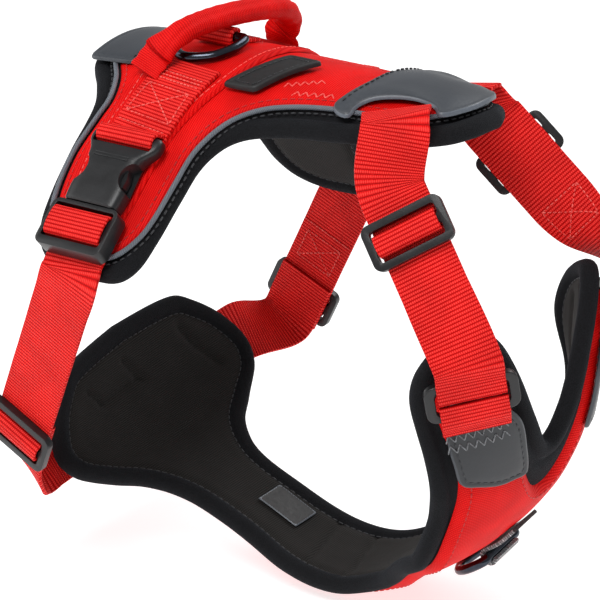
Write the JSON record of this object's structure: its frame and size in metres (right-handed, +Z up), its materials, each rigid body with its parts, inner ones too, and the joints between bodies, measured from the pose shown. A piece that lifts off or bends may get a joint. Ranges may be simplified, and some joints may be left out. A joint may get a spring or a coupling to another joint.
{
  "type": "padded no-pull dog harness",
  "caption": "Padded dog harness: back panel with lifting handle and leash ring, webbing straps with adjusters, side-release buckles, and a Y-shaped padded chest plate with a front ring.",
  "frame": {"origin": "middle of the back panel's ridge, inside the pad that rests on the dog's back", "axes": "+X towards the dog's head, +Y to its left side, +Z up"},
  "size_m": [0.2117, 0.1948, 0.2243],
  "materials": {
    "black_mesh": "matte",
    "slate_film": "satin",
    "piping": "satin",
    "patch_rubber": "matte",
    "gunmetal": "polished",
    "silver_webbing": "satin",
    "tag_fabric": "matte",
    "red_fabric": "matte",
    "red_webbing": "matte",
    "black_plastic": "matte"
  },
  "bodies": {
    "harness": {"back_lining_pad": "black_mesh", "back_piping": "piping", "back_ring_keeper": "red_webbing", "back_saddle_panel": "red_fabric", "back_shell": "red_fabric", "blank_patch": "patch_rubber", "chest_lining_pad": "black_mesh", "chest_shell": "red_fabric", "front_cover": "slate_film", "front_ring_keeper": "silver_webbing", "left_arm_cover": "slate_film", "left_belly_strap": "red_webbing", "left_buckle_socket": "black_plastic", "left_buckle_tab": "red_webbing", "left_chest_ring": "black_plastic", "left_girth_strap": "red_webbing", "left_neck_strap": "red_webbing", "left_ring_keeper": "red_webbing", "rear_cover": "slate_film", "right_arm_cover": "slate_film", "right_belly_strap": "red_webbing", "right_buckle_socket": "black_plastic", "right_buckle_tab": "red_webbing", "right_chest_ring": "black_plastic", "right_girth_strap": "red_webbing", "right_neck_strap": "red_webbing", "right_ring_keeper": "red_webbing", "size_tag": "tag_fabric"},
    "back_ring": {"back_leash_ring": "gunmetal"},
    "front_ring": {"front_leash_ring": "gunmetal"},
    "handle": {"handle_grip": "red_fabric"},
    "right_plug": {"right_buckle_plug": "black_plastic", "right_plug_webbing": "red_webbing"},
    "right_front_prong_body": {"right_front_prong": "black_plastic"},
    "right_rear_prong_body": {"right_rear_prong": "black_plastic"},
    "right_girth_adjuster": {"right_girth_slider": "black_plastic", "right_girth_slider_webbing": "red_webbing"},
    "right_neck_adjuster": {"right_neck_slider": "black_plastic", "right_neck_slider_webbing": "red_webbing"},
    "left_plug": {"left_buckle_plug": "black_plastic", "left_plug_webbing": "red_webbing"},
    "left_front_prong_body": {"left_front_prong": "black_plastic"},
    "left_rear_prong_body": {"left_rear_prong": "black_plastic"},
    "left_girth_adjuster": {"left_girth_slider": "black_plastic", "left_girth_slider_webbing": "red_webbing"},
    "left_neck_adjuster": {"left_neck_slider": "black_plastic", "left_neck_slider_webbing": "red_webbing"}
  },
  "joints": [
    {"name": "back_leash_ring_hinge", "type": "hinge", "parent": "harness", "child": "back_ring", "pos_m": [-0.038, -0.00581, 0.00862], "axis": [-1, 0, 0], "range_deg": [-2, 6]},
    {"name": "front_leash_ring_hinge", "type": "hinge", "parent": "harness", "child": "front_ring", "pos_m": [0.08228, 0.00559, -0.17581], "axis": [0.0005, -0.9936, -0.1129], "range_deg": [-6, 165]},
    {"name": "handle_hinge", "type": "hinge", "parent": "harness", "child": "handle", "pos_m": [-0.043, 0.00002, 0.00019], "axis": [0.1378, 0.9856, -0.0976], "range_deg": [-45, 1]},
    {"name": "right_plug_slide", "type": "slide", "parent": "harness", "child": "right_plug", "axis": [0, -0.7431, -0.6691], "range_m": [0, 0.024]},
    {"name": "right_front_prong_hinge", "type": "hinge", "parent": "right_plug", "child": "right_front_prong_body", "pos_m": [-0.0306, -0.08535, -0.03601], "axis": [0, -0.6691, 0.7431], "range_deg": [0, 8], "stiffness_Nm_per_rad": 0.3},
    {"name": "right_rear_prong_hinge", "type": "hinge", "parent": "right_plug", "child": "right_rear_prong_body", "pos_m": [-0.0434, -0.08535, -0.03601], "axis": [0, -0.6691, 0.7431], "range_deg": [-8, 0], "stiffness_Nm_per_rad": 0.3},
    {"name": "right_girth_slider_slide", "type": "slide", "parent": "harness", "child": "right_girth_adjuster", "axis": [-0.4336, 0.1649, -0.8859], "range_m": [-0.025, 0.004]},
    {"name": "right_neck_slider_slide", "type": "slide", "parent": "harness", "child": "right_neck_adjuster", "axis": [0.6157, -0.2221, -0.756], "range_m": [-0.005, 0.012]},
    {"name": "left_plug_slide", "type": "slide", "parent": "harness", "child": "left_plug", "axis": [0, 0.5878, -0.809], "range_m": [0, 0.024]},
    {"name": "left_front_prong_hinge", "type": "hinge", "parent": "left_plug", "child": "left_front_prong_body", "pos_m": [-0.0306, 0.076, -0.05297], "axis": [0, 0.809, 0.5878], "range_deg": [-8, 0], "stiffness_Nm_per_rad": 0.3},
    {"name": "left_rear_prong_hinge", "type": "hinge", "parent": "left_plug", "child": "left_rear_prong_body", "pos_m": [-0.0434, 0.076, -0.05297], "axis": [0, 0.809, 0.5878], "range_deg": [0, 8], "stiffness_Nm_per_rad": 0.3},
    {"name": "left_girth_slider_slide", "type": "slide", "parent": "harness", "child": "left_girth_adjuster", "axis": [-0.429, 0.0085, -0.9033], "range_m": [-0.025, 0.004]},
    {"name": "left_neck_slider_slide", "type": "slide", "parent": "harness", "child": "left_neck_adjuster", "axis": [0.7168, 0.1241, -0.6861], "range_m": [-0.005, 0.012]}
  ]
}
